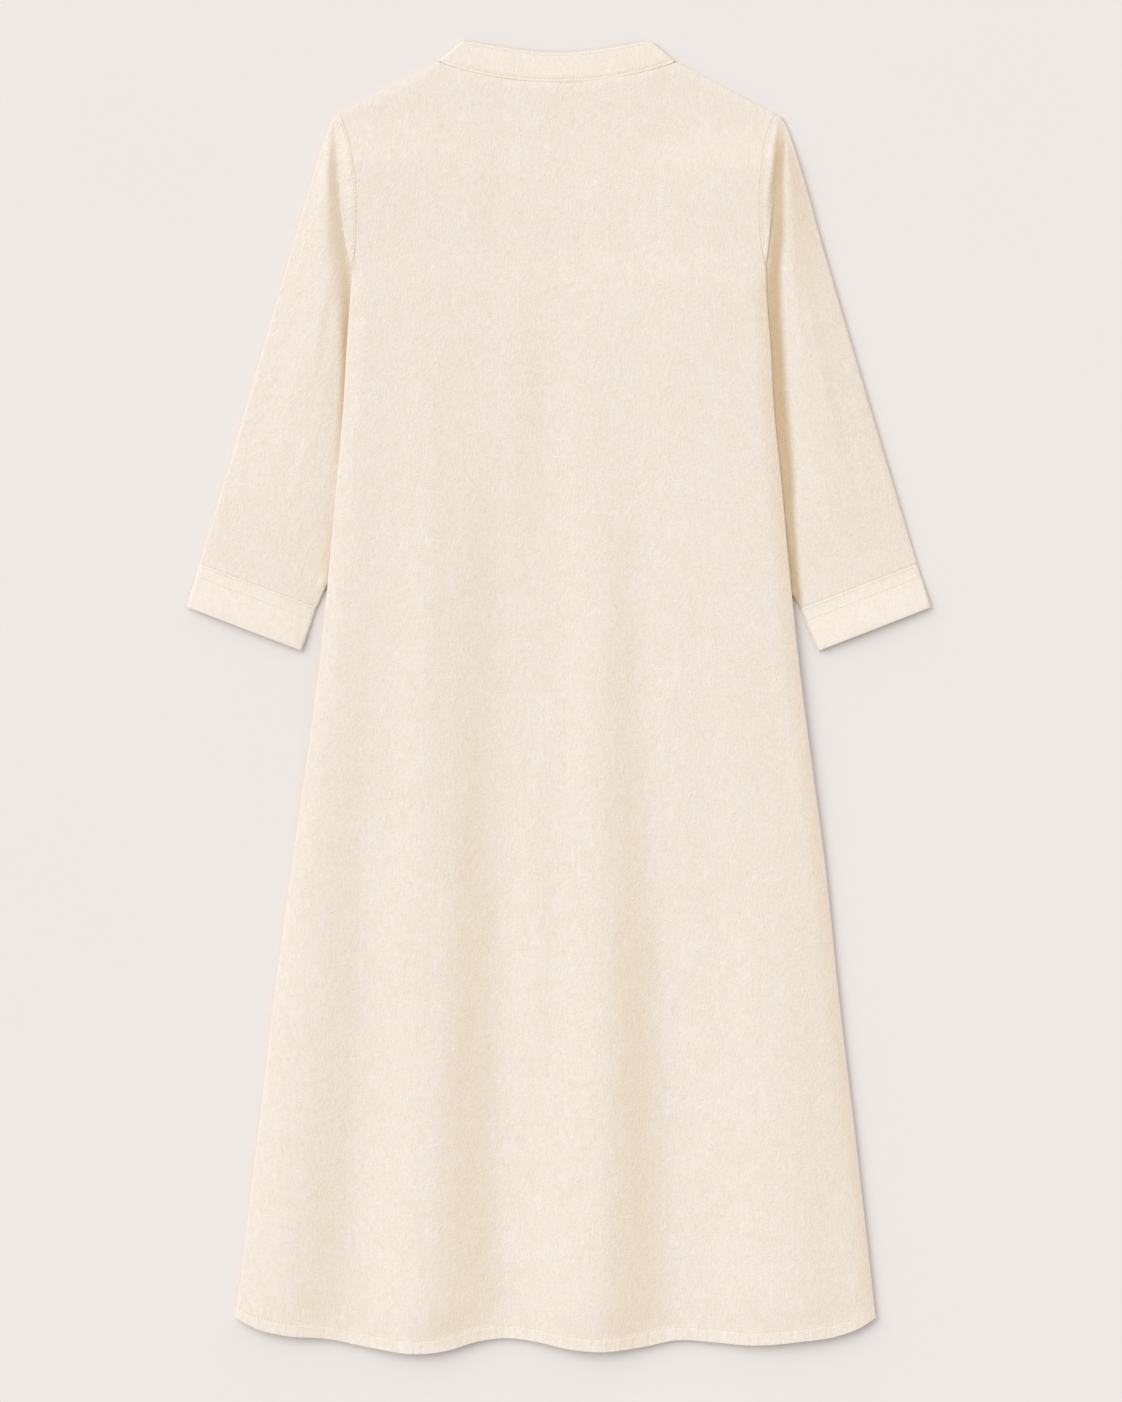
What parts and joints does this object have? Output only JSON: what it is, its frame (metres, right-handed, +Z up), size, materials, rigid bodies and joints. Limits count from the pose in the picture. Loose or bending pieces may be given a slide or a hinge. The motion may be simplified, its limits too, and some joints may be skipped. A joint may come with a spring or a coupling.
{
  "type": "kurti",
  "caption": "Plain cream cotton kurti laid flat with its back up: band collar, three-quarter sleeves with cuff bands, slim chest, A-line skirt and softly waved hem.",
  "frame": {"origin": "centre of the bounding box's bottom face, on the surface that the garment lies on", "axes": "+Y to the collar and -Y to the hem, +Z up from the surface, where the back panel shows; the wearer's left sleeve is at -X"},
  "size_m": [0.6562, 1.1576, 0.0108],
  "materials": {
    "body_cloth": "soft matt slubbed cotton, single layer, warm off-white",
    "sleeve_cloth": "soft matt slubbed cotton, single layer, warm off-white",
    "band_cloth": "soft matt slubbed cotton, doubled, a little warmer and denser"
  },
  "bodies": {
    "root": {"back": "body_cloth", "front": "body_cloth", "sleeve_left": "sleeve_cloth", "sleeve_right": "sleeve_cloth", "collar": "band_cloth", "cuff_left": "band_cloth", "cuff_right": "band_cloth"}
  },
  "joints": []
}
